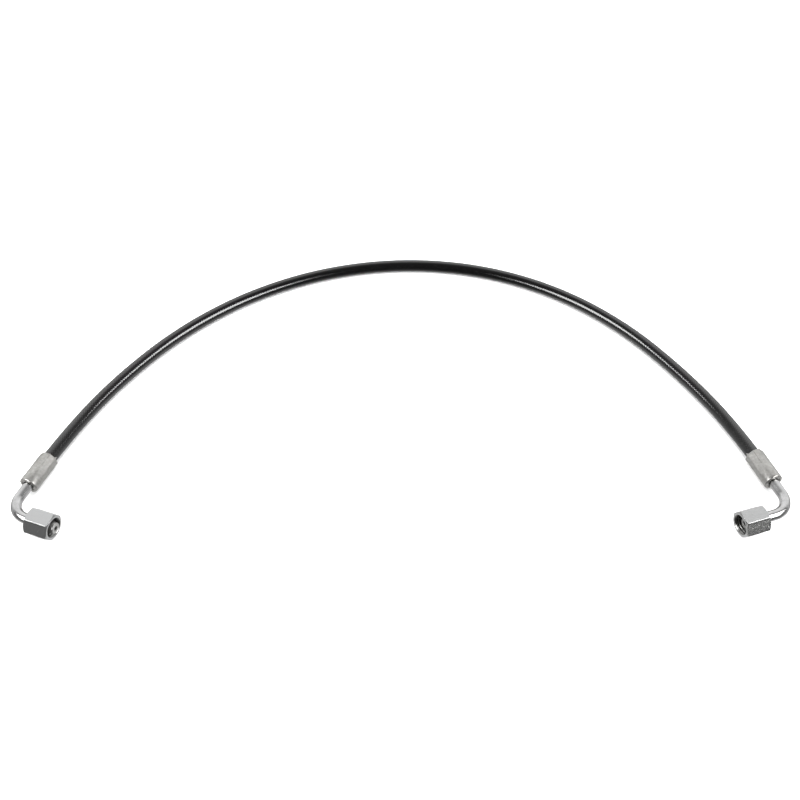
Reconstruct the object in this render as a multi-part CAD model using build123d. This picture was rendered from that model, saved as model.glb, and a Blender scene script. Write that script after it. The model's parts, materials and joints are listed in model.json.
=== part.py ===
"""Hydraulic hose assembly: a wire-braided hose with two crimped 90 degree swivel-nut ends.

Frame: millimetres, +Z up, the part lying on the plane Z = 0. +X runs from the left end to the
right end, and +Y from the fittings towards the crown of the hose's bow. The origin is the middle
of the two fittings' footprint. The two fittings are mirror images of each other, each with a
local frame at its elbow's corner, where the two straight axes of the tube meet: local X runs out
through the nose, local Y back through the ferrule to the hose. Each nut lies on one of its flats,
so X is level, and Y dips until the ferrule's mouth rests on the table.
"""
import os
from math import cos, pi, radians, sin, tan

from build123d import *

# --- the assembly -------------------------------------------------------------------------------
ELBOW_CORNER = {"left": (-340.7, -16.8), "right": (340.2, -19.2)}   # in plan
NUT_YAW = {"left": 20.0, "right": 17.2}   # degrees that each nut's axis turns from X towards -Y
LEG_DIP = 2.7               # degrees that each ferrule's axis dips towards the hose
NUT_ACROSS_FLATS = 22.0     # M18 swivel nut
AXIS_HEIGHT = NUT_ACROSS_FLATS / 2   # each nut lies on one of its flats

# --- the hose, 1/4 inch bore with one wire braid ------------------------------------------------
HOSE_BORE = 6.4
INNER_TUBE_OD = 9.2
BRAID_OD = 10.2
HOSE_OD = 12.6
HOSE_ON_TABLE = HOSE_OD / 2 + 0.05   # axis height where the hose lies on the table

# --- the elbow tube -----------------------------------------------------------------------------
TUBE_OD = 9.5
TUBE_BORE = 5.0
ELBOW_RADIUS = 18.0         # centreline radius of the 90 degree bend

# --- the 24 degree cone nose, positions measured back from its tip ------------------------------
NOSE_REACH = 47.8           # elbow corner to nose tip
PORT_BORE = 4.0             # bore of the nose and of the hose stem
CONE_HALF_ANGLE = 12.0
TIP_RADIUS = 4.7
TIP_CHAMFER = 0.4
GROOVE_START = 3.4
GROOVE_WIDTH = 2.1
O_RING_SECTION = 1.5
O_RING_PROUD = 0.3          # how far the seal stands above the cone
CONE_LENGTH = 8.0
COLLAR_RADIUS = 7.5
COLLAR_LAND = 1.8           # cylindrical part of the collar, before its 45 degree back
NOSE_SOCKET_DEPTH = 5.5     # how far the tube and its braze go into the nose
BRAZE_THICKNESS = 0.5

# --- thrust ring and swivel nut -----------------------------------------------------------------
BEVEL_GAP = 0.35            # between the collar's 45 degree back and the ring, along the axis
FACE_GAP = 0.15             # between the ring's back and the nut's shoulder
TUBE_CLEARANCE = 0.35       # radial, of the ring and the nut's back hole over the tube
RING_RADIUS = 7.7
RING_LAND = 1.5             # flat depth of the ring behind its bevel
THREAD_MAJOR = 18.0
THREAD_PITCH = 1.5
THREAD_MINOR = THREAD_MAJOR - 1.0825 * THREAD_PITCH
THREAD_DEPTH = 13.0         # from the nut's mouth
RELIEF_RADIUS = 8.05        # plain bore behind the thread
NUT_LENGTH = 23.0
NUT_CHAMFER_ANGLE = 30.0
NUT_FACE_RADIUS = 10.6      # circle left by the chamfer on each end face
NUT_FORWARD_REACH = 4.0     # nut mouth ahead of the nose tip when the nut is fully forward
NUT_SLID_BACK = {"left": 6.0, "right": 0.0}   # where each nut stands at rest

# --- ferrule and stem, positions measured from the ferrule's tube end ---------------------------
FERRULE_REACH = 31.0        # elbow corner to the ferrule's tube end
FERRULE_LENGTH = 33.4
FERRULE_HEAD_RADIUS = 8.65
FERRULE_HEAD_LENGTH = 8.0
FERRULE_LIP_LENGTH = 3.2    # lip that locks in front of the stem's collar
LIP_HOLE_RADIUS = 5.9
CRIMP_START = 10.5
CRIMP_CORNER_RADIUS = 8.3
CRIMP_FLAT_APOTHEM = 7.9
CRIMP_FLATS = 8
STEM_NECK_START = 1.0
STEM_COLLAR_RADIUS = 7.0
STEM_COLLAR_END = 8.0       # the hose is pushed up to this face
STEM_TAIL_LENGTH = 23.0
STEM_SOCKET_DEPTH = 5.0
BARB_COUNT = 5
BARB_PITCH = 3.6
BARB_DEPTH = 0.35

HOSE_START = FERRULE_REACH + STEM_COLLAR_END   # hose end, from the elbow corner
FIRST_RUN = 57.0            # first and last runs of the hose's route, straight out of the ferrules

# The hose's route between its first and last runs: plan position and axis height.
ROUTE = [
    (-269.6, 140.6, HOSE_ON_TABLE),
    (-217.6, 204.0, HOSE_ON_TABLE),
    (-152.8, 254.0, HOSE_ON_TABLE),
    (-77.6, 287.0, HOSE_ON_TABLE),
    (4.4, 299.7, HOSE_ON_TABLE),
    (86.4, 290.0, HOSE_ON_TABLE),
    (161.4, 257.6, HOSE_ON_TABLE),
    (225.0, 205.8, HOSE_ON_TABLE),
    (274.2, 140.4, HOSE_ON_TABLE),
]
ARC_SHARE = 0.45            # part of the shorter run that each arc may use

SIDES = {"left": -1, "right": 1}


# --- placing ------------------------------------------------------------------------------------
def end_frame(side):
    """Local frame of one fitting: X out of the nose, Y towards the hose."""
    sign = SIDES[side]
    yaw = radians(NUT_YAW[side])
    dip = radians(LEG_DIP)
    return Plane(
        origin=(*ELBOW_CORNER[side], AXIS_HEIGHT),
        x_dir=(-sign * cos(yaw), -sin(yaw), 0),
        z_dir=(sin(yaw) * sin(dip), -sign * cos(yaw) * sin(dip), -sign * cos(dip)),
    )


def turned(outline):
    """Solid of revolution about X from (position, radius) points."""
    return revolve(make_face(Polyline(*outline, close=True)), Axis.X)


def on_nose_axis(outline):
    """Turn an outline whose positions run back from the nose tip."""
    return turned([(NOSE_REACH - back, radius) for back, radius in outline])


def on_hose_axis(outline):
    """Turn an outline whose positions run from the ferrule's tube end towards the hose."""
    return Rot(0, 0, 90) * turned([(FERRULE_REACH + along, radius) for along, radius in outline])


# --- nose side ----------------------------------------------------------------------------------
def cone_radius(back):
    return TIP_RADIUS + back * tan(radians(CONE_HALF_ANGLE))


def collar_outline():
    """Outline of the collar's back: start of its 45 degree bevel, and the nose's end."""
    bevel_start = CONE_LENGTH + COLLAR_LAND
    nose_end = bevel_start + COLLAR_RADIUS - (TUBE_OD / 2 + 0.25)
    return bevel_start, nose_end


def socket_bottom():
    return collar_outline()[1] - NOSE_SOCKET_DEPTH


def groove_floor():
    middle = GROOVE_START + GROOVE_WIDTH / 2
    return cone_radius(middle) + O_RING_PROUD - O_RING_SECTION


def cone_nose():
    bevel_start, nose_end = collar_outline()
    groove_end = GROOVE_START + GROOVE_WIDTH
    return on_nose_axis([
        (0, PORT_BORE / 2 + TIP_CHAMFER),
        (0, cone_radius(0) - TIP_CHAMFER),
        (TIP_CHAMFER, cone_radius(TIP_CHAMFER)),
        (GROOVE_START, cone_radius(GROOVE_START)),
        (GROOVE_START, groove_floor()),
        (groove_end, groove_floor()),
        (groove_end, cone_radius(groove_end)),
        (CONE_LENGTH, cone_radius(CONE_LENGTH)),
        (CONE_LENGTH, COLLAR_RADIUS - TIP_CHAMFER),
        (CONE_LENGTH + TIP_CHAMFER, COLLAR_RADIUS),
        (bevel_start, COLLAR_RADIUS),
        (nose_end, TUBE_OD / 2 + 0.25),
        (nose_end, TUBE_OD / 2),
        (socket_bottom(), TUBE_OD / 2),
        (socket_bottom(), PORT_BORE / 2),
        (TIP_CHAMFER, PORT_BORE / 2),
    ])


def nose_o_ring():
    middle = GROOVE_START + GROOVE_WIDTH / 2
    centre = (NOSE_REACH - middle, groove_floor() + O_RING_SECTION / 2)
    return revolve(Pos(*centre) * Circle(O_RING_SECTION / 2), Axis.X)


def nose_braze_ring():
    """Brazing filler between the tube's end and the bottom of the nose's socket."""
    start = socket_bottom()
    return on_nose_axis([
        (start, TUBE_BORE / 2),
        (start, TUBE_OD / 2),
        (start + BRAZE_THICKNESS, TUBE_OD / 2),
        (start + BRAZE_THICKNESS, TUBE_BORE / 2),
    ])


def ring_back():
    """Back face of the thrust ring when the nut is fully forward."""
    bevel_start, _ = collar_outline()
    bevel_end = bevel_start + BEVEL_GAP + COLLAR_RADIUS - (TUBE_OD / 2 + TUBE_CLEARANCE)
    return bevel_end + RING_LAND


def thrust_ring(side):
    bevel_start, _ = collar_outline()
    hole = TUBE_OD / 2 + TUBE_CLEARANCE
    outer_start = bevel_start + BEVEL_GAP + COLLAR_RADIUS - RING_RADIUS
    ring = on_nose_axis([
        (outer_start, RING_RADIUS),
        (ring_back() - RING_LAND, hole),
        (ring_back(), hole),
        (ring_back(), RING_RADIUS),
    ])
    return Pos(-NUT_SLID_BACK[side], 0, 0) * ring


def nut_bore_cutter():
    """Everything removed from the nut about its axis, mouth first."""
    shoulder = ring_back() + FACE_GAP + NUT_FORWARD_REACH
    minor = THREAD_MINOR / 2
    mouth = THREAD_MAJOR / 2 + 0.1
    end = NUT_LENGTH + 1
    hole = TUBE_OD / 2 + TUBE_CLEARANCE
    outline = [
        (-1, 0),
        (-1, mouth),
        (0, mouth),
        (mouth - minor, minor),
        (THREAD_DEPTH, minor),
        (THREAD_DEPTH, RELIEF_RADIUS),
        (shoulder, RELIEF_RADIUS),
        (shoulder, hole),
        (end, hole),
        (end, 0),
    ]
    return on_nose_axis([(along - NUT_FORWARD_REACH, radius) for along, radius in outline])


def nut_blank():
    """Hexagonal bar with both ends turned to a 30 degree chamfer, flats up and down."""
    corner = NUT_ACROSS_FLATS / 2 / cos(pi / 6)
    chamfer = (corner - NUT_FACE_RADIUS) * tan(radians(NUT_CHAMFER_ANGLE))
    mouth_x = NOSE_REACH + NUT_FORWARD_REACH
    hexagon = Plane.YZ.offset(mouth_x - NUT_LENGTH) * RegularPolygon(
        NUT_ACROSS_FLATS / 2, 6, major_radius=False
    )
    envelope = turned([
        (mouth_x, 0),
        (mouth_x, NUT_FACE_RADIUS),
        (mouth_x - chamfer, corner),
        (mouth_x - NUT_LENGTH + chamfer, corner),
        (mouth_x - NUT_LENGTH, NUT_FACE_RADIUS),
        (mouth_x - NUT_LENGTH, 0),
    ])
    return extrude(hexagon, NUT_LENGTH) & envelope


def swivel_nut(side):
    """The nut turned back level about its axis, so that it lies on a flat."""
    level = Rot(-SIDES[side] * LEG_DIP, 0, 0)
    return Pos(-NUT_SLID_BACK[side], 0, 0) * level * (nut_blank() - nut_bore_cutter())


# --- tube ---------------------------------------------------------------------------------------
def elbow_tube():
    nose_end = NOSE_REACH - socket_bottom() - BRAZE_THICKNESS
    stem_end = FERRULE_REACH + STEM_NECK_START + STEM_SOCKET_DEPTH - BRAZE_THICKNESS
    path = FilletPolyline((nose_end, 0), (0, 0), (0, stem_end), radius=ELBOW_RADIUS)
    return pipe(path, TUBE_OD, TUBE_BORE)


def pipe(path, outer, inner):
    """Round tube swept along a path of lines and arcs."""
    start = Plane(origin=path @ 0, z_dir=path % 0)
    return sweep(start * Circle(outer / 2), path) - sweep(start * Circle(inner / 2), path)


# --- hose side ----------------------------------------------------------------------------------
def barbed_tail():
    """Outline of the stem's tail from its tip back to the collar, with its grooves."""
    tip = STEM_COLLAR_END + STEM_TAIL_LENGTH
    crest = HOSE_BORE / 2
    outline = [(tip, crest - 0.5), (tip - 1.0, crest)]
    for index in range(BARB_COUNT):
        edge = tip - 2.5 - index * BARB_PITCH
        outline += [(edge, crest), (edge - 0.6, crest - BARB_DEPTH), (edge - 2.0, crest)]
    return outline


def hose_stem():
    socket_end = STEM_NECK_START + STEM_SOCKET_DEPTH
    tip = STEM_COLLAR_END + STEM_TAIL_LENGTH
    outline = [
        (STEM_NECK_START, TUBE_OD / 2),
        (socket_end, TUBE_OD / 2),
        (socket_end, PORT_BORE / 2),
        (tip, PORT_BORE / 2),
    ]
    outline += barbed_tail()
    outline += [
        (STEM_COLLAR_END, HOSE_BORE / 2),
        (STEM_COLLAR_END, STEM_COLLAR_RADIUS),
        (FERRULE_LIP_LENGTH, STEM_COLLAR_RADIUS),
        (FERRULE_LIP_LENGTH, LIP_HOLE_RADIUS),
        (STEM_NECK_START, LIP_HOLE_RADIUS),
    ]
    return on_hose_axis(outline)


def stem_braze_ring():
    """Brazing filler between the tube's end and the bottom of the stem's socket."""
    end = STEM_NECK_START + STEM_SOCKET_DEPTH
    return on_hose_axis([
        (end - BRAZE_THICKNESS, TUBE_BORE / 2),
        (end - BRAZE_THICKNESS, TUBE_OD / 2),
        (end, TUBE_OD / 2),
        (end, TUBE_BORE / 2),
    ])


def crimp_flats():
    """Octagonal bar that the crimping dies leave, longer than the ferrule's crimped zone."""
    octagon = Plane.XZ.offset(-(FERRULE_REACH + CRIMP_START)) * RegularPolygon(
        CRIMP_FLAT_APOTHEM, CRIMP_FLATS, major_radius=False, rotation=180 / CRIMP_FLATS
    )
    return extrude(octagon, -(FERRULE_LENGTH - CRIMP_START + 1))


def ferrule():
    """Crimped sleeve: a round head over the stem's collar, then eight flats over the hose."""
    head = on_hose_axis([
        (0, LIP_HOLE_RADIUS + 0.5),
        (0, FERRULE_HEAD_RADIUS - 1.2),
        (0.35, FERRULE_HEAD_RADIUS - 0.5),
        (1.2, FERRULE_HEAD_RADIUS),
        (FERRULE_HEAD_LENGTH, FERRULE_HEAD_RADIUS),
        (CRIMP_START, CRIMP_FLAT_APOTHEM),
        (CRIMP_START, HOSE_OD / 2),
        (STEM_COLLAR_END, HOSE_OD / 2),
        (STEM_COLLAR_END, STEM_COLLAR_RADIUS),
        (FERRULE_LIP_LENGTH, STEM_COLLAR_RADIUS),
        (FERRULE_LIP_LENGTH, LIP_HOLE_RADIUS),
        (0.5, LIP_HOLE_RADIUS),
    ])
    sleeve = on_hose_axis([
        (CRIMP_START, HOSE_OD / 2),
        (CRIMP_START, CRIMP_FLAT_APOTHEM),
        (CRIMP_START + 0.6, CRIMP_CORNER_RADIUS),
        (FERRULE_LENGTH - 0.5, CRIMP_CORNER_RADIUS),
        (FERRULE_LENGTH, CRIMP_CORNER_RADIUS - 0.5),
        (FERRULE_LENGTH, HOSE_OD / 2),
    ])
    return head + (sleeve & crimp_flats())


# --- hose ---------------------------------------------------------------------------------------
def route_points():
    """The whole route, with the straight first and last runs worked out from the fittings."""
    ends = []
    for side in SIDES:
        frame = end_frame(side)
        ends.append([frame.from_local_coords((0, HOSE_START + run, 0)) for run in (0, FIRST_RUN)])
    left, right = ends
    return [Vector(point) for point in (*left, *ROUTE, right[1], right[0])]


def corner_radii(points):
    """Radius of the arc at each corner: ARC_SHARE of the shorter run over tan of half the turn."""
    radii = []
    for before, corner, after in zip(points, points[1:], points[2:]):
        run_in, run_out = corner - before, after - corner
        shorter = min(run_in.length, run_out.length)
        radii.append(ARC_SHARE * shorter / tan(radians(run_in.get_angle(run_out)) / 2))
    return radii


def hose_path():
    points = route_points()
    radii = corner_radii(points)
    print("hose arc radii, mm:", ", ".join(f"{radius:.0f}" for radius in radii))
    return FilletPolyline(*points, radius=radii)


def hose_layers():
    path = hose_path()
    print(f"hose cut length, mm: {path.length:.1f}")
    print(f"elbow corner to elbow corner, mm: {path.length + 2 * HOSE_START:.1f}")
    return {
        "hose_inner_tube": pipe(path, INNER_TUBE_OD, HOSE_BORE),
        "hose_wire_braid": pipe(path, BRAID_OD, INNER_TUBE_OD),
        "hose_outer_cover": pipe(path, HOSE_OD, BRAID_OD),
    }


# --- assembly -----------------------------------------------------------------------------------
def end_pieces(side):
    """The nine pieces of one fitting, placed in the part's frame."""
    pieces = {
        "ferrule": ferrule(),
        "hose_stem": hose_stem(),
        "stem_braze_ring": stem_braze_ring(),
        "elbow_tube": elbow_tube(),
        "nose_braze_ring": nose_braze_ring(),
        "cone_nose": cone_nose(),
        "nose_o_ring": nose_o_ring(),
        "thrust_ring": thrust_ring(side),
        "swivel_nut": swivel_nut(side),
    }
    frame = end_frame(side)
    return {f"{side}_{name}": frame * piece for name, piece in pieces.items()}


def main():
    os.makedirs("parts", exist_ok=True)
    parts = hose_layers()
    for side in SIDES:
        parts.update(end_pieces(side))
    for name, part in parts.items():
        export_step(part, f"parts/{name}.step")


main()
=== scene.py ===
"""Studio scene of the hydraulic hose assembly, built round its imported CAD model, in metres.

The hose is a mesh tube along one smooth NURBS line. The ferrules, elbow tubes and swivel nuts are
detailed meshes in place of their CAD nodes, as are the noses and their seals. The pieces that are
nearly hidden keep their CAD shape and get their own materials. Each end has a local frame at its
elbow's corner: X runs level out through the nose, Y back through the ferrule to the hose.
"""
import json
from math import atan, cos, pi, radians, sin, tan

import bpy
import numpy as np
from mathutils import Matrix, Vector


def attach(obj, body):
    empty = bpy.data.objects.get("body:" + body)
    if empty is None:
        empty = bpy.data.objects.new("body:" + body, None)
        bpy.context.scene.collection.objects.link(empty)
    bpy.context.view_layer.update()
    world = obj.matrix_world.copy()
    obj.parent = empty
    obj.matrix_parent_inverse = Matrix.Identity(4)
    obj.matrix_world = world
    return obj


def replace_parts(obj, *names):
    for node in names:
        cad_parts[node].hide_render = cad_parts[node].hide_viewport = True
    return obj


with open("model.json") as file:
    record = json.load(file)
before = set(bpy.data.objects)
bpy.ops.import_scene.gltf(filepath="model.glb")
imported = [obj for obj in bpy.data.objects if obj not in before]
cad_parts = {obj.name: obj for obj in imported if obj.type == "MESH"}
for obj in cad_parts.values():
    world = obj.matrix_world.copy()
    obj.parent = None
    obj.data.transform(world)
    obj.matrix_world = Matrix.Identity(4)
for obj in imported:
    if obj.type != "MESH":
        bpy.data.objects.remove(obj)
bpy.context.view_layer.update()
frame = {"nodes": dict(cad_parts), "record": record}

MM = 0.001
PER_MM = 1000.0             # scale of a texture, in UVs of metres, that repeats each millimetre
ROOT = "hose_and_fittings"
SIDES = {"left": -1, "right": 1}

# --- driving sizes, as the CAD model has them ---------------------------------------------------
LEG_DIP = radians(2.7)
NOSE_REACH = 47.8 * MM
ELBOW_RADIUS = 18.0 * MM
TUBE_RADIUS = 4.75 * MM
TUBE_BORE_RADIUS = 2.5 * MM
HOSE_START = 39.0 * MM
FIRST_RUN = 57.0 * MM
HOSE_DIAMETER = 12.6 * MM
BRAID_DIAMETER = 10.2 * MM
LINING_DIAMETER = 9.2 * MM
HOSE_BORE = 6.4 * MM
HOSE_ON_TABLE = 6.35 * MM   # height of the hose's axis where it lies on the table
FERRULE_LENGTH = 33.4 * MM
ACROSS_FLATS = 22.0 * MM
THREAD_PITCH = 2.5 * MM     # of the ridges drawn in the nut; the record's thread is M18 x 1.5

# The hose's route between its straight first and last runs. It began as a fit of the hose's
# centreline in the photo through the camera. The last three points are up to 1.2 mm from the
# CAD model's.
ROUTE = [
    (-0.2696, 0.1406, HOSE_ON_TABLE),
    (-0.2176, 0.2040, HOSE_ON_TABLE),
    (-0.1528, 0.2540, HOSE_ON_TABLE),
    (-0.0776, 0.2870, HOSE_ON_TABLE),
    (0.0044, 0.2997, HOSE_ON_TABLE),
    (0.0864, 0.2900, HOSE_ON_TABLE),
    (0.1618, 0.2583, HOSE_ON_TABLE),
    (0.2256, 0.2068, HOSE_ON_TABLE),
    (0.2746, 0.1412, HOSE_ON_TABLE),
]

# --- the camera ---------------------------------------------------------------------------------
CAMERA_AT = (-0.0051, -0.4952, 0.7413)
CAMERA_DOWN = 50.5
CAMERA_TURN = -0.48
CAMERA_LENS = 45.0


# --- places from the frame ----------------------------------------------------------------------
def port(side):
    """Tip of one nose and the direction out of it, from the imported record."""
    mount = next(m for m in frame["record"]["mounts"] if m["name"] == f"{side}_port")
    return Vector(mount["pos_m"]), Vector(mount["axis"]).normalized()


def end_frame(side):
    """Matrix from one end's local frame to the row frame."""
    tip, out = port(side)
    level = out.cross((0, 0, SIDES[side]))
    to_hose = level * cos(LEG_DIP) - Vector((0, 0, sin(LEG_DIP)))
    up = out.cross(to_hose)
    corner = tip - out * NOSE_REACH
    return Matrix.Translation(corner) @ Matrix((out, to_hose, up)).transposed().to_4x4()


END = {side: end_frame(side) for side in SIDES}


def node_span(node, side, axis):
    """Lowest and highest place of a CAD node along one axis of its end's local frame."""
    inverse = END[side].inverted()
    places = [(inverse @ v.co)[axis] for v in frame["nodes"][node].data.vertices]
    return min(places), max(places)


# --- mesh building ------------------------------------------------------------------------------
def skin(name, rows, uv):
    """Mesh of quads over a grid of points that is closed both ways, with UVs in metres.

    rows has shape (rows, columns, 3). uv has one more row and column than that.
    """
    count, across = rows.shape[:2]
    faces, coords = [], []
    for i in range(count):
        k = (i + 1) % count
        for j in range(across):
            m = (j + 1) % across
            faces.append((i * across + j, i * across + m, k * across + m, k * across + j))
            coords += [uv[i, j], uv[i, j + 1], uv[i + 1, j + 1], uv[i + 1, j]]
    mesh = bpy.data.meshes.new(name)
    mesh.from_pydata(rows.reshape(-1, 3).tolist(), [], faces)
    layer = mesh.uv_layers.new(name="UVMap")
    layer.data.foreach_set("uv", np.array(coords, np.float32).ravel())
    mesh.polygons.foreach_set("use_smooth", [True] * len(mesh.polygons))
    mesh.validate()
    mesh.update()
    piece = bpy.data.objects.new(name, mesh)
    bpy.context.scene.collection.objects.link(piece)
    return piece


def face_outwards(piece):
    """Turn the faces so that the closed mesh holds a positive volume."""
    mesh = piece.data
    volume = 0.0
    for face in mesh.polygons:
        a, *rest = (mesh.vertices[v].co for v in face.vertices)
        for b, c in zip(rest, rest[1:]):
            volume += a.dot(b.cross(c))
    if volume < 0:
        mesh.flip_normals()
    return piece


def weighted_normals(piece):
    """Large faces keep flat shading up to the small rounded edges beside them."""
    modifier = piece.modifiers.new("weighted_normals", "WEIGHTED_NORMAL")
    modifier.weight = 80
    modifier.keep_sharp = False
    return piece


def rounded(points, radii, steps=3):
    """Closed 2-D outline with each corner replaced by steps + 1 points of a tangent curve."""
    points = np.asarray(points, float)
    out = []
    count = len(points)
    for i, radius in enumerate(radii):
        before, corner, after = points[i - 1], points[i], points[(i + 1) % count]
        run_in, run_out = corner - before, after - corner
        reach_in = min(radius, 0.45 * np.linalg.norm(run_in)) / np.linalg.norm(run_in)
        reach_out = min(radius, 0.45 * np.linalg.norm(run_out)) / np.linalg.norm(run_out)
        start, end = corner - run_in * reach_in, corner + run_out * reach_out
        for t in np.linspace(0, 1, steps + 1):
            out.append((1 - t) ** 2 * start + 2 * t * (1 - t) * corner + t * t * end)
    return np.array(out)


def evenly(columns):
    return np.linspace(0, 2 * pi, columns, endpoint=False)


def lathe(name, outline_at, angles, axis, matrix, girth_radius=None):
    """Closed solid round local X (axis 0) or Y (axis 1). outline_at(angle) gives its outline
    as (position, radius) points, the same number at every angle. U runs along the outline from
    its first point and V round the solid, at girth_radius or at its widest."""
    profiles = np.array([outline_at(a) for a in angles]).transpose(1, 0, 2)
    place, radius = profiles[..., 0], profiles[..., 1]
    side, up = radius * np.cos(angles), radius * np.sin(angles)
    local = np.stack([place, side, up] if axis == 0 else [side, place, up], axis=-1)
    world = local @ np.array(matrix.to_3x3()).T + np.array(matrix.translation)
    middle = profiles.mean(axis=1)
    steps = np.linalg.norm(np.roll(middle, -1, axis=0) - middle, axis=1)
    along = np.concatenate([[0], np.cumsum(steps)])
    girth = (girth_radius or middle[:, 1].max()) * np.append(angles, angles[0] + 2 * pi)
    uv = np.stack(np.broadcast_arrays(along[:, None], girth[None, :]), axis=-1)
    return face_outwards(skin(name, world, uv))


# --- the hose -----------------------------------------------------------------------------------
def route_points():
    ends = {}
    for side in SIDES:
        ends[side] = [END[side] @ Vector((0, HOSE_START + run, 0)) for run in (0, FIRST_RUN)]
    left, right = ends["left"], ends["right"]
    return [*left, *map(Vector, ROUTE), right[1], right[0]]


def hose_line():
    """The hose's centreline: points along one NURBS spline over the route."""
    curve = bpy.data.curves.new("hose_route", "CURVE")
    curve.dimensions = "3D"
    points = route_points()
    spline = curve.splines.new("NURBS")
    spline.points.add(len(points) - 1)
    for target, point in zip(spline.points, points):
        target.co = (*point, 1)
    spline.order_u = 3
    spline.use_endpoint_u = True
    spline.resolution_u = 64
    holder = bpy.data.objects.new("hose_route", curve)
    mesh = bpy.data.meshes.new_from_object(holder)
    line = np.array([v.co for v in mesh.vertices])
    bpy.data.objects.remove(holder)
    bpy.data.curves.remove(curve)
    bpy.data.meshes.remove(mesh)
    return line


def hose_layer(name, line, outer, inner, columns):
    """Closed pipe along the line, with UVs in metres along and around it."""
    tangent = np.gradient(line, axis=0)
    tangent /= np.linalg.norm(tangent, axis=1)[:, None]
    side = np.cross(tangent, (0, 0, 1))
    side /= np.linalg.norm(side, axis=1)[:, None]
    up = np.cross(side, tangent)
    angles = evenly(columns)
    ring = (np.cos(angles)[None, :, None] * side[:, None]
            + np.sin(angles)[None, :, None] * up[:, None])
    outside, inside = line[:, None] + ring * outer / 2, line[:, None] + ring * inner / 2
    rows = np.concatenate([outside, inside[::-1]])
    steps = np.linalg.norm(np.diff(line, axis=0), axis=1)
    along = np.concatenate([[0], np.cumsum(steps)])
    wall = (outer - inner) / 2
    along = np.concatenate([along, along[::-1] + along[-1] + wall, [2 * along[-1] + 2 * wall]])
    girth = outer / 2 * np.linspace(0, 2 * pi, columns + 1)
    uv = np.stack(np.broadcast_arrays(along[:, None], girth[None, :]), axis=-1)
    return face_outwards(skin(name, rows, uv))


# --- ferrule ------------------------------------------------------------------------------------
HEAD_RADIUS = 8.65 * MM
LIP_RADIUS = 5.9 * MM
LIP_LENGTH = 2.4 * MM
CRIMP_FLATS = 8
CRIMP_APOTHEM = 7.75 * MM
CRIMP_CORNER = 8.45 * MM
CRIMP_FADE = (5.0 * MM, 24.0 * MM)     # from the tube end: no crimp yet, and the full crimp
RIDGE_HEIGHT = 0.30 * MM               # metal squeezed up between two dies
FIN_REACH = 1.5 * MM                   # burr past the mouth on the ridge that faces the camera
FIN_ANGLE = radians(22.5)


def smooth_step(value, low, high):
    t = min(max((value - low) / (high - low), 0.0), 1.0)
    return t * t * (3 - 2 * t)


def crimped_radius(angle, along):
    """Radius of the sleeve: a round head that fades into eight flats with a ridge between them."""
    half = pi / CRIMP_FLATS
    turn = (angle + half) % (2 * half) - half
    flat = min(CRIMP_APOTHEM / cos(turn), CRIMP_CORNER)
    ridge = RIDGE_HEIGHT * max(0.0, 1 - (half - abs(turn)) / radians(3.5))
    crimp = smooth_step(along, *CRIMP_FADE)
    return HEAD_RADIUS + (flat + ridge - HEAD_RADIUS) * crimp


def ferrule(side):
    """Crimped sleeve over the hose, with a burr at its mouth."""
    node = f"{side}_ferrule"
    start, end = node_span(node, side, 1)
    bore = HOSE_DIAMETER / 2
    fin_at = FIN_ANGLE if side == "left" else -FIN_ANGLE
    stations = np.linspace(0.1, 0.97, 22) * (end - start)

    def outline_at(angle):
        off = (angle - fin_at + pi) % (2 * pi) - pi
        fin = FIN_REACH * max(0.0, 1 - abs(off) / radians(7))
        mouth = crimped_radius(angle, end - start)
        head = rounded([(0, LIP_RADIUS), (0, HEAD_RADIUS), (FERRULE_LENGTH / 2, HEAD_RADIUS)],
                       [0.35 * MM, 1.3 * MM, 0], steps=6)[:14]
        sleeve = [(along, crimped_radius(angle, along)) for along in stations]
        hose_end = [
            (end - start - 0.5 * MM, mouth),
            (end - start - 0.15 * MM + fin, mouth - 0.1 * MM),
            (end - start + fin, mouth - 0.4 * MM),
            (end - start, bore + 0.3 * MM),
            (end - start - 0.3 * MM, bore),
            (LIP_LENGTH, bore),
            (LIP_LENGTH, LIP_RADIUS),
        ]
        profile = np.array([*head, *sleeve, *hose_end])
        profile[:, 0] += start
        return profile

    piece = lathe(f"{side}_ferrule_crimped", outline_at, evenly(256), 1, END[side])
    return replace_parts(piece, node)


# --- elbow tube ---------------------------------------------------------------------------------
def elbow_line(side):
    """Centreline of the bent tube in its local frame: straight, 90 degree bend, straight."""
    node = f"{side}_elbow_tube"
    nose_end = node_span(node, side, 0)[1]
    stem_end = node_span(node, side, 1)[1]
    bend = np.linspace(0, pi / 2, 33)
    arc = [(ELBOW_RADIUS * (1 - sin(a)), ELBOW_RADIUS * (1 - cos(a)), 0) for a in bend]
    return np.array([(nose_end, 0, 0), *arc, (0, stem_end, 0)])


def elbow_tube(side):
    line = elbow_line(side)
    dense = [line[0] + (line[1] - line[0]) * t for t in np.linspace(0, 1, 13)[:-1]]
    dense += list(line[1:-1])
    dense += [line[-2] + (line[-1] - line[-2]) * t for t in np.linspace(0, 1, 13)[1:]]
    matrix = END[side]
    world = np.array(dense) @ np.array(matrix.to_3x3()).T + np.array(matrix.translation)
    piece = hose_layer(f"{side}_elbow", world, 2 * TUBE_RADIUS, 2 * TUBE_BORE_RADIUS, 64)
    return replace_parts(piece, f"{side}_elbow_tube")


# --- swivel nut ---------------------------------------------------------------------------------
NUT_BORE_FROM = 35.0 * MM   # along the outline from the mouth, round the outside, to the bore, where the painted shade starts
NUT_GIRTH_RADIUS = 11.5 * MM
SCUFFED_FLAT = {"left": radians(150), "right": radians(210)}   # turn of the front flat
SCUFF_FADE = (radians(23), radians(28))    # turn from that flat's middle where the scuffs fade
NUT_EDGE = 0.35 * MM          # rounding of the six long edges
NUT_FLAT_HALF = atan((ACROSS_FLATS / 2 - NUT_EDGE) * tan(pi / 6) / (ACROSS_FLATS / 2))


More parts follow.
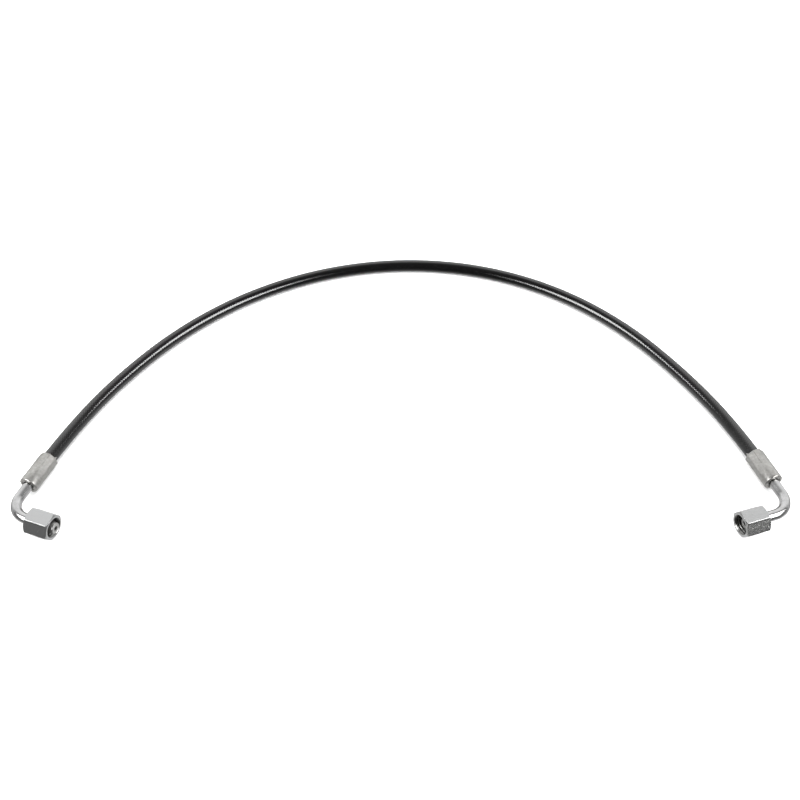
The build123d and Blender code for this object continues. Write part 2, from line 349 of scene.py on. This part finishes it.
def nut_angles():
    """Angles round the nut: even across each flat, and close together over each rounded edge."""
    flat = np.linspace(-NUT_FLAT_HALF, NUT_FLAT_HALF, 13)
    edge = np.linspace(NUT_FLAT_HALF, pi / 3 - NUT_FLAT_HALF, 5)[1:-1]
    one_side = np.append(flat, edge)
    return np.concatenate([centre + one_side for centre in np.arange(6) * pi / 3 + pi / 6])


def swivel_nut(side):
    """Hexagonal nut: turned chamfers, rounded edges and a helical ridge inside as its thread."""
    node = f"{side}_swivel_nut"
    back, mouth = node_span(node, side, 0)
    apothem = ACROSS_FLATS / 2
    face = 10.6 * MM
    chamfer = tan(radians(30))
    minor, major = 8.188 * MM, 9.0 * MM
    mouth_radius = 9.1 * MM
    thread_start, thread_end = mouth - 0.9 * MM, mouth - 13.0 * MM
    relief, hole = 8.05 * MM, 5.1 * MM
    shoulder = node_shoulder(side)
    thread_rows = int(round((thread_start - thread_end) / (THREAD_PITCH / 12)))

    def hexagon(angle):
        turn = angle % (pi / 3) - pi / 6
        if abs(turn) <= NUT_FLAT_HALF:
            return apothem / cos(turn)
        centre = (apothem - NUT_EDGE) / cos(pi / 6)
        off = pi / 6 - abs(turn)
        return centre * cos(off) + (NUT_EDGE ** 2 - (centre * sin(off)) ** 2) ** 0.5

    def outline_at(angle):
        wide = hexagon(angle)
        chamfer_run = (wide - face) * chamfer
        outer = [
            (mouth, mouth_radius),
            (mouth, face),
            (mouth - chamfer_run, wide),
            (back + chamfer_run, wide),
            (back, face),
            (back, hole),
            (shoulder, hole),
            (shoulder, relief),
            (thread_end, relief),
        ]
        radii = [0.15, 0.12, 0.15, 0.15, 0.12, 0.15, 0.1, 0.1, 0.05]
        corners = rounded(outer + [(thread_end, minor), (thread_start, minor)],
                          [r * MM for r in radii] + [0.02 * MM, 0.1 * MM])
        cut = 4 * (len(outer) + 1)      # each corner is 4 points; the thread follows its inner end
        thread = []
        for i in range(1, thread_rows):
            place = thread_end + (thread_start - thread_end) * i / thread_rows
            phase = (place / THREAD_PITCH + angle / (2 * pi)) % 1
            depth = max(0.0, 1 - abs(phase - 0.5) / 0.44)
            fade = min(1.0, (place - thread_end) / THREAD_PITCH)
            thread.append((place, minor + (major - minor) * depth * fade))
        return np.vstack([corners[:cut], thread, corners[cut:]])

    level = Matrix.Rotation(-SIDES[side] * LEG_DIP, 4, "X")
    piece = lathe(f"{side}_hex_nut", outline_at, nut_angles(), 0, END[side] @ level,
                  NUT_GIRTH_RADIUS)
    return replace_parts(weighted_normals(piece), node)


def node_shoulder(side):
    """Where the nut's inner shoulder stands: just behind the thrust ring's back."""
    return node_span(f"{side}_thrust_ring", side, 0)[0] - 0.15 * MM


# --- nose and seal ------------------------------------------------------------------------------
NOSE_OUTLINE = [              # distance back from the tip, radius and edge rounding, in mm
    (0.0, 2.0, 0.35), (0.0, 4.7, 0.4), (3.4, 5.42, 0.12), (3.4, 4.4, 0.1), (5.5, 4.4, 0.1),
    (5.5, 5.87, 0.12), (8.0, 6.4, 0.1), (8.0, 7.5, 0.4), (9.8, 7.5, 0.2), (12.3, 5.0, 0.1),
    (12.3, 4.75, 0.05), (6.8, 4.75, 0.05), (6.8, 2.0, 0.05),
]
SEAL_CENTRE = (4.45, 5.16)    # back from the tip, and radius, in mm
SEAL_SECTION = 0.75 * MM


def cone_nose(side):
    outline = rounded([((NOSE_REACH - back * MM), radius * MM) for back, radius, _ in NOSE_OUTLINE],
                      [edge * MM for _, _, edge in NOSE_OUTLINE])
    piece = lathe(f"{side}_nose", lambda angle: outline, evenly(96), 0, END[side])
    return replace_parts(weighted_normals(piece), f"{side}_cone_nose")


def nose_seal(side):
    turns = evenly(24)
    centre = NOSE_REACH - SEAL_CENTRE[0] * MM
    outline = np.stack([centre + SEAL_SECTION * np.cos(turns),
                        SEAL_CENTRE[1] * MM + SEAL_SECTION * np.sin(turns)], axis=-1)
    piece = lathe(f"{side}_seal", lambda angle: outline, evenly(96), 0, END[side])
    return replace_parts(piece, f"{side}_nose_o_ring")


# --- materials ----------------------------------------------------------------------------------
NOISE_RANGE = (0.3, 0.7)       # where nearly all values of a noise lie


class Nodes:
    """A material's node tree with short calls for the nodes that every finish here uses."""

    def __init__(self, name, colour, roughness, metallic=0.0):
        self.material = bpy.data.materials.new(name)
        self.material.use_nodes = True
        self.tree = self.material.node_tree
        self.shader = self.tree.nodes["Principled BSDF"]
        self.set("Base Color", (*colour, 1))
        self.set("Roughness", roughness)
        self.set("Metallic", metallic)

    def set(self, socket, value):
        self.shader.inputs[socket].default_value = value

    def link(self, output, target):
        self.tree.links.new(output, target)

    def coords(self, kind, scale):
        """UV in metres or object coordinates in metres, times scale."""
        source = self.tree.nodes.new("ShaderNodeTexCoord")
        mapping = self.tree.nodes.new("ShaderNodeMapping")
        mapping.inputs["Scale"].default_value = scale
        self.link(source.outputs[kind], mapping.inputs["Vector"])
        return mapping.outputs["Vector"]

    def uv(self, name):
        """X or Y of the UVs, in metres along or round the solid."""
        split = self.tree.nodes.new("ShaderNodeSeparateXYZ")
        self.link(self.coords("UV", (1, 1, 1)), split.inputs["Vector"])
        return split.outputs[name]

    def noise(self, kind, scale, detail=4.0, rough=0.6, distortion=0.0):
        texture = self.tree.nodes.new("ShaderNodeTexNoise")
        texture.inputs["Scale"].default_value = 1.0
        texture.inputs["Detail"].default_value = detail
        texture.inputs["Roughness"].default_value = rough
        texture.inputs["Distortion"].default_value = distortion
        self.link(self.coords(kind, scale), texture.inputs["Vector"])
        return texture.outputs["Fac"]

    def wave(self, kind, scale, turn=0.0, distortion=0.0):
        """Sine bands of one period per unit along the scaled and turned first coordinate."""
        texture = self.tree.nodes.new("ShaderNodeTexWave")
        texture.wave_profile = "SIN"
        texture.inputs["Scale"].default_value = pi / 10
        texture.inputs["Distortion"].default_value = distortion
        vector = self.coords(kind, scale)
        if turn:
            rotate = self.tree.nodes.new("ShaderNodeVectorRotate")
            rotate.rotation_type = "Z_AXIS"
            rotate.inputs["Angle"].default_value = turn
            self.link(vector, rotate.inputs["Vector"])
            vector = rotate.outputs["Vector"]
        self.link(vector, texture.inputs["Vector"])
        return texture.outputs["Fac"]

    def math(self, operation, first, second):
        node = self.tree.nodes.new("ShaderNodeMath")
        node.operation = operation
        for socket, value in zip(node.inputs, (first, second)):
            if isinstance(value, (int, float)):
                socket.default_value = value
            else:
                self.link(value, socket)
        return node.outputs["Value"]

    def spread(self, value, low_in, high_in, low_out, high_out):
        node = self.tree.nodes.new("ShaderNodeMapRange")
        for name, number in zip(("From Min", "From Max", "To Min", "To Max"),
                                (low_in, high_in, low_out, high_out)):
            node.inputs[name].default_value = number
        self.link(value, node.inputs["Value"])
        return node.outputs["Result"]

    def blend(self, value, first, second):
        node = self.tree.nodes.new("ShaderNodeMix")
        node.data_type = "RGBA"
        self.link(value, node.inputs["Factor"])
        for name, colour in (("A", first), ("B", second)):
            if isinstance(colour, tuple):
                node.inputs[name].default_value = (*colour, 1)
            else:
                self.link(colour, node.inputs[name])
        return node.outputs["Result"]

    def bump(self, height, distance, strength=1.0):
        node = self.tree.nodes.new("ShaderNodeBump")
        node.inputs["Distance"].default_value = distance
        node.inputs["Strength"].default_value = strength
        self.link(height, node.inputs["Height"])
        before = self.shader.inputs["Normal"]
        if before.is_linked:
            self.link(before.links[0].from_socket, node.inputs["Normal"])
        self.link(node.outputs["Normal"], before)

    def colour(self, output):
        self.link(output, self.shader.inputs["Base Color"])

    def roughness(self, output):
        self.link(output, self.shader.inputs["Roughness"])


def cover_material():
    """Glossy black rubber with the impression of the cloth that it was cured in."""
    m = Nodes("cover_rubber_cloth_wrapped", (0.0015, 0.0015, 0.0015), 0.22)
    cloth = PER_MM / 1.8
    warp = m.wave("UV", (cloth, cloth, 1), turn=radians(52))
    weft = m.wave("UV", (cloth, cloth, 1), turn=radians(-38))
    weave = m.math("MULTIPLY", warp, weft)
    worn = m.noise("Object", (PER_MM / 2.2,) * 3, detail=3)
    m.bump(weave, 0.00004)
    m.bump(worn, 0.00003)
    m.colour(m.blend(m.spread(worn, 0.35, 0.7, 0.0, 1.0), (0.0005,) * 3, (0.002,) * 3))
    m.roughness(m.spread(worn, 0.3, 0.75, 0.10, 0.15))
    dust = m.noise("UV", (PER_MM / 1.5,) * 3, detail=2)
    dusty = m.math("ADD", m.math("MULTIPLY", weave, 0.6), dust)
    m.link(m.spread(dusty, 0.35, 1.0, 0.6, 1.25), m.shader.inputs["Specular IOR Level"])
    return m.material


def braid_material():
    m = Nodes("braid_brassed_wire", (0.62, 0.5, 0.3), 0.35, 1.0)
    wire = PER_MM / 0.6
    wires = m.math("MAXIMUM", m.wave("UV", (wire, wire, 1), turn=radians(54)),
                   m.wave("UV", (wire, wire, 1), turn=radians(-54)))
    m.bump(wires, 0.0002)
    m.colour(m.blend(wires, (0.25, 0.19, 0.1), (0.68, 0.56, 0.34)))
    return m.material


def lining_material():
    m = Nodes("lining_rubber_smooth", (0.02, 0.02, 0.02), 0.5)
    grain = m.noise("Object", (900.0,) * 3)
    m.bump(grain, 0.00003)
    m.roughness(m.spread(grain, 0.3, 0.7, 0.42, 0.58))
    return m.material


def ferrule_material():
    """Zinc plating pressed matt by the crimping dies, with fine die lines along the sleeve."""
    m = Nodes("ferrule_zinc_matt", (0.6, 0.59, 0.56), 0.42, 1.0)
    cloud = m.noise("Object", (420.0,) * 3, detail=6, rough=0.7)
    grain = m.noise("Object", (2600.0,) * 3, detail=3)
    lines = m.noise("UV", (120.0, 2600.0, 1), detail=3)
    m.colour(m.blend(m.spread(cloud, *NOISE_RANGE, 0.0, 1.0),
                     (0.28, 0.275, 0.26), (0.48, 0.475, 0.46)))
    m.roughness(m.spread(m.math("ADD", cloud, lines), 0.7, 1.3, 0.28, 0.46))
    m.bump(grain, 0.00003)
    m.bump(lines, 0.00003)
    return m.material


def tube_material():
    """Bright zinc over drawn tube: smooth, with faint lines along it and a little haze."""
    m = Nodes("tube_zinc_bright", (0.74, 0.74, 0.74), 0.2, 1.0)
    haze = m.noise("Object", (170.0,) * 3, detail=4)
    lines = m.noise("UV", (60.0, 1500.0, 1), detail=3)
    m.colour(m.blend(m.spread(haze, *NOISE_RANGE, 0.0, 1.0),
                     (0.40, 0.40, 0.40), (0.50, 0.50, 0.50)))
    m.roughness(m.spread(m.math("ADD", haze, lines), 0.7, 1.3, 0.12, 0.24))
    m.bump(lines, 0.00001)
    return m.material


def nut_material(side):
    """Zinc over bright-drawn hexagon bar, with painted shade that darkens its bore. Spanners have
    scuffed it, on the right nut most of all across its front flat."""
    wear = {"left": 0.3, "right": 1.0}[side]
    m = Nodes(f"nut_zinc_{side}", (0.64, 0.65, 0.65), 0.3, 1.0)
    cloud = m.noise("Object", (240.0,) * 3, detail=6, rough=0.7, distortion=0.6)
    scuffs = m.noise("UV", (430.0, 760.0, 1), detail=4, rough=0.65, distortion=1.4)
    lines = m.noise("UV", (40.0, 4200.0, 1), detail=2)
    turn = m.math("SUBTRACT", m.math("DIVIDE", m.uv("Y"), NUT_GIRTH_RADIUS), SCUFFED_FLAT[side])
    off = m.math("ABSOLUTE", turn, 0.0)
    worn = m.spread(off, *SCUFF_FADE, wear, 0.3 * wear)
    patches = m.math("ADD", cloud, scuffs)
    dull = m.math("MULTIPLY", m.spread(patches, 0.8, 1.2, 0.0, 1.0), worn)
    # Painted shade: this mask covers the bore, past NUT_BORE_FROM along the outline, where the
    # nut's hollow lies in shade.
    inside = m.spread(m.uv("X"), NUT_BORE_FROM, NUT_BORE_FROM + MM, 0.0, 1.0)
    plating = m.blend(dull, (0.455, 0.46, 0.46), (0.37, 0.37, 0.36))
    # Painted shade: inside the bore the plating colour gives way to dark grey (0.20), in place of
    # the shade in the hollow.
    m.colour(m.blend(inside, plating, (0.20, 0.20, 0.195)))
    rough = m.math("MULTIPLY", m.spread(patches, 0.7, 1.3, 0.0, 0.22), worn)
    m.roughness(m.math("ADD", rough, 0.16))
    m.bump(lines, 0.000015)
    m.bump(m.math("MULTIPLY", m.math("SUBTRACT", scuffs, 0.5), worn), 0.00024)
    return m.material


def turned_material():
    """Turned and zinc-plated steel, with the tool's rings round it."""
    m = Nodes("turned_zinc", (0.68, 0.68, 0.67), 0.26, 1.0)
    rings = m.wave("UV", (PER_MM / 0.22, 0, 0))
    cloud = m.noise("Object", (400.0,) * 3)
    m.colour(m.blend(m.spread(cloud, *NOISE_RANGE, 0.0, 1.0),
                     (0.40, 0.40, 0.39), (0.50, 0.50, 0.49)))
    m.roughness(m.spread(cloud, 0.3, 0.7, 0.32, 0.46))
    m.bump(rings, 0.000006)
    return m.material


def cast_material(name, dark, light, roughness):
    """Finish of the nearly hidden metal pieces, which have no UVs."""
    m = Nodes(name, light, roughness, 1.0)
    cloud = m.noise("Object", (500.0,) * 3, detail=5)
    m.colour(m.blend(m.spread(cloud, *NOISE_RANGE, 0.0, 1.0), dark, light))
    m.roughness(m.spread(cloud, 0.3, 0.7, roughness - 0.06, roughness + 0.1))
    m.bump(cloud, 0.00002)
    return m.material


def seal_material():
    m = Nodes("seal_rubber_smooth", (0.012, 0.012, 0.012), 0.3)
    grain = m.noise("Object", (1500.0,) * 3)
    m.roughness(m.spread(grain, 0.3, 0.7, 0.25, 0.4))
    m.bump(grain, 0.00001)
    return m.material


def floor_material():
    m = Nodes("floor_white", (0.93, 0.93, 0.93), 0.9)
    m.set("Specular IOR Level", 0.0)
    grain = m.noise("Object", (6.0,) * 3, detail=2)
    m.colour(m.blend(grain, (0.925, 0.925, 0.925), (0.935, 0.935, 0.935)))
    return m.material


def paint(piece, material, slot=None):
    piece.data.materials.clear()
    piece.data.materials.append(material)
    return piece


# --- stage --------------------------------------------------------------------------------------
FLOOR_HALF = 3.0              # from the origin to each edge of the table, in metres


def add_floor():
    """White table. Polished metal doesn't mirror it: the sweep in the world stands in for that."""
    mesh = bpy.data.meshes.new("floor")
    corners = [(x * FLOOR_HALF, y * FLOOR_HALF, 0) for x, y in ((-1, -1), (1, -1), (1, 1), (-1, 1))]
    mesh.from_pydata(corners, [], [(0, 1, 2, 3)])
    floor = bpy.data.objects.new("floor", mesh)
    bpy.context.scene.collection.objects.link(floor)
    paint(floor, floor_material())
    floor.visible_glossy = False


def add_camera():
    data = bpy.data.cameras.new("camera")
    data.lens = CAMERA_LENS
    data.sensor_width = 36.0
    data.clip_start = 0.01
    camera = bpy.data.objects.new("camera", data)
    camera.location = CAMERA_AT
    camera.rotation_euler = (radians(90 - CAMERA_DOWN), 0, radians(CAMERA_TURN))
    bpy.context.scene.collection.objects.link(camera)
    bpy.context.scene.camera = camera


LIGHT_AIM = Vector((0, 0.1, 0))
BACK_OF_SIDE_LIGHT = (0.95, 0.0, 0.90)      # both ends of the right-hand strip; the left mirrors it
FRONT_OF_SIDE_LIGHT = (0.80, -0.82, 0.52)
SIDE_LIGHT_WIDTH = 0.56
SIDE_LIGHT_RADIANCE = 10.0
TOP_LIGHT_RADIANCE = 4.5


def strip_light(name, start, stop, width, radiance):
    """Rectangular light whose middle line runs from start to stop, facing the object."""
    start, stop = Vector(start), Vector(stop)
    place = (start + stop) / 2
    back = (place - LIGHT_AIM).normalized()
    along = stop - start
    length = along.length
    along = (along - along.project(back)).normalized()
    data = bpy.data.lights.new(name, "AREA")
    data.shape = "RECTANGLE"
    data.size, data.size_y = length, width
    data.energy = radiance * pi * length * width
    light = bpy.data.objects.new(name, data)
    turn = Matrix((along, back.cross(along), back)).transposed().to_4x4()
    light.matrix_world = Matrix.Translation(place) @ turn
    light.visible_camera = False
    bpy.context.scene.collection.objects.link(light)
    return light


def add_lights():
    """A broad soft light overhead, and a tilted strip light on each side, lower at its front."""
    top = strip_light("top_soft", (-1.7, 0.35, 2.2), (1.7, 0.35, 2.2), 2.6, TOP_LIGHT_RADIANCE)
    top.visible_glossy = False
    for name, sign in (("left_strip", -1), ("right_strip", 1)):
        ends = [(sign * x, y, z) for x, y, z in (BACK_OF_SIDE_LIGHT, FRONT_OF_SIDE_LIGHT)]
        strip_light(name, *ends, SIDE_LIGHT_WIDTH, SIDE_LIGHT_RADIANCE)


# Brightness of the surroundings by angle: 0 is the horizon behind the object, 90 straight up,
# 180 and -180 the horizon in front, and -90 straight down. The levels were typed in after a
# separate script estimated what the hose in the photo reflects, and many are its results rounded.
SURROUND = [
    (-180, 0.08), (-155, 0.10), (-140, 0.20), (-125, 0.65), (-110, 0.95), (-80, 0.95), (-60, 0.75),
    (-20, 0.95), (0, 1.25), (30, 1.50), (58, 1.35), (68, 0.42), (76, 0.25), (95, 0.12), (130, 0.08),
    (180, 0.08),
]
FAR_SIDES = 0.50              # share of that left towards -X and +X, where the sweep ends
FAR_SIDES_FADE = (0.74, 0.94)    # |X| of the direction where the sweep starts to fade, and has
SIDE_GLOW = 0.22              # added in front towards -X and +X, where the room is lighter
SIDE_GLOW_RISE = (0.50, 0.90)    # |X| of the direction where the glow starts, and is full
FRONT_RISE = (0.25, 0.0)         # Y of the direction where the glow starts, and is full


def add_world():
    """A white sweep behind the object with a dark room overhead and in front, which polished
    metal and rubber reflect. The backdrop itself is white."""
    world = bpy.data.worlds.new("studio")
    bpy.context.scene.world = world
    world.use_nodes = True
    nodes, links = world.node_tree.nodes, world.node_tree.links
    coords = nodes.new("ShaderNodeTexCoord")
    split = nodes.new("ShaderNodeSeparateXYZ")
    links.new(coords.outputs["Generated"], split.inputs[0])
    angle = nodes.new("ShaderNodeMath")
    angle.operation = "ARCTAN2"
    links.new(split.outputs["Z"], angle.inputs[0])
    links.new(split.outputs["Y"], angle.inputs[1])
    place = nodes.new("ShaderNodeMapRange")
    place.inputs["From Min"].default_value = -pi
    place.inputs["From Max"].default_value = pi
    links.new(angle.outputs["Value"], place.inputs["Value"])
    ramp = nodes.new("ShaderNodeValToRGB")
    brightest = max(level for _, level in SURROUND)
    elements = ramp.color_ramp.elements
    for _ in SURROUND[2:]:
        elements.new(0.5)
    for element, (degrees, _) in zip(elements, SURROUND):
        element.position = (degrees + 180) / 360
    for element, (_, level) in zip(elements, SURROUND):
        element.color = (*(level / brightest,) * 3, 1)
    links.new(place.outputs["Result"], ramp.inputs["Fac"])

    def math(operation, first, second):
        node = nodes.new("ShaderNodeMath")
        node.operation = operation
        for socket, value in zip(node.inputs, (first, second)):
            if isinstance(value, float):
                socket.default_value = value
            else:
                links.new(value, socket)
        return node.outputs["Value"]

    def rise(value, start, end):
        node = nodes.new("ShaderNodeMapRange")
        node.inputs["From Min"].default_value = start
        node.inputs["From Max"].default_value = end
        links.new(value, node.inputs["Value"])
        return node.outputs["Result"]

    across = math("ABSOLUTE", split.outputs["X"], 0.0)
    sweep = math("MULTIPLY", ramp.outputs["Color"], brightest)
    far = rise(across, *FAR_SIDES_FADE)
    sweep = math("MULTIPLY", sweep, math("SUBTRACT", 1.0, math("MULTIPLY", far, 1 - FAR_SIDES)))
    in_front = rise(split.outputs["Y"], *FRONT_RISE)
    glow = math("MULTIPLY", math("MULTIPLY", rise(across, *SIDE_GLOW_RISE), in_front), SIDE_GLOW)
    level = math("ADD", sweep, glow)
    surround = nodes["Background"]
    surround.inputs["Color"].default_value = (1, 1, 1, 1)
    links.new(level, surround.inputs["Strength"])
    backdrop = nodes.new("ShaderNodeBackground")
    path = nodes.new("ShaderNodeLightPath")
    mix = nodes.new("ShaderNodeMixShader")
    links.new(path.outputs["Is Camera Ray"], mix.inputs["Fac"])
    links.new(surround.outputs["Background"], mix.inputs[1])
    links.new(backdrop.outputs["Background"], mix.inputs[2])
    links.new(mix.outputs["Shader"], nodes["World Output"].inputs["Surface"])
    backdrop.inputs["Color"].default_value = (1, 1, 1, 1)
    bpy.context.scene.view_settings.view_transform = "Standard"


# --- assembly -----------------------------------------------------------------------------------
def build():
    line = hose_line()
    cover = hose_layer("hose_cover", line, HOSE_DIAMETER, BRAID_DIAMETER, 48)
    braid = hose_layer("hose_braid", line, BRAID_DIAMETER, LINING_DIAMETER, 32)
    lining = hose_layer("hose_lining", line, LINING_DIAMETER, HOSE_BORE, 32)
    for piece, material, slot, node in (
        (cover, cover_material(), "cover_rubber", "hose_outer_cover"),
        (braid, braid_material(), "braid_wire", "hose_wire_braid"),
        (lining, lining_material(), "lining_rubber", "hose_inner_tube"),
    ):
        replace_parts(paint(piece, material, slot), node)
        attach(piece, ROOT)
    shared = {
        "ferrule": ferrule_material(),
        "tube": tube_material(),
        "turned": turned_material(),
        "seal": seal_material(),
        "steel": cast_material("stem_and_ring_zinc", (0.45, 0.45, 0.44), (0.66, 0.66, 0.65), 0.3),
        "braze": cast_material("braze_brass", (0.5, 0.36, 0.15), (0.78, 0.62, 0.32), 0.35),
    }
    for side in SIDES:
        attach(paint(ferrule(side), shared["ferrule"], "ferrule_zinc"), ROOT)
        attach(paint(elbow_tube(side), shared["tube"], "tube_zinc"), ROOT)
        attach(paint(cone_nose(side), shared["turned"], "turned_steel"), ROOT)
        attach(paint(nose_seal(side), shared["seal"], "seal_rubber"), ROOT)
        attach(paint(swivel_nut(side), nut_material(side), "nut_zinc"), f"{side}_swivel_nut")
        for node in ("hose_stem", "thrust_ring"):
            paint(frame["nodes"][f"{side}_{node}"], shared["steel"])
        for node in ("stem_braze_ring", "nose_braze_ring"):
            paint(frame["nodes"][f"{side}_{node}"], shared["braze"])


build()
add_floor()
add_world()
add_lights()
add_camera()
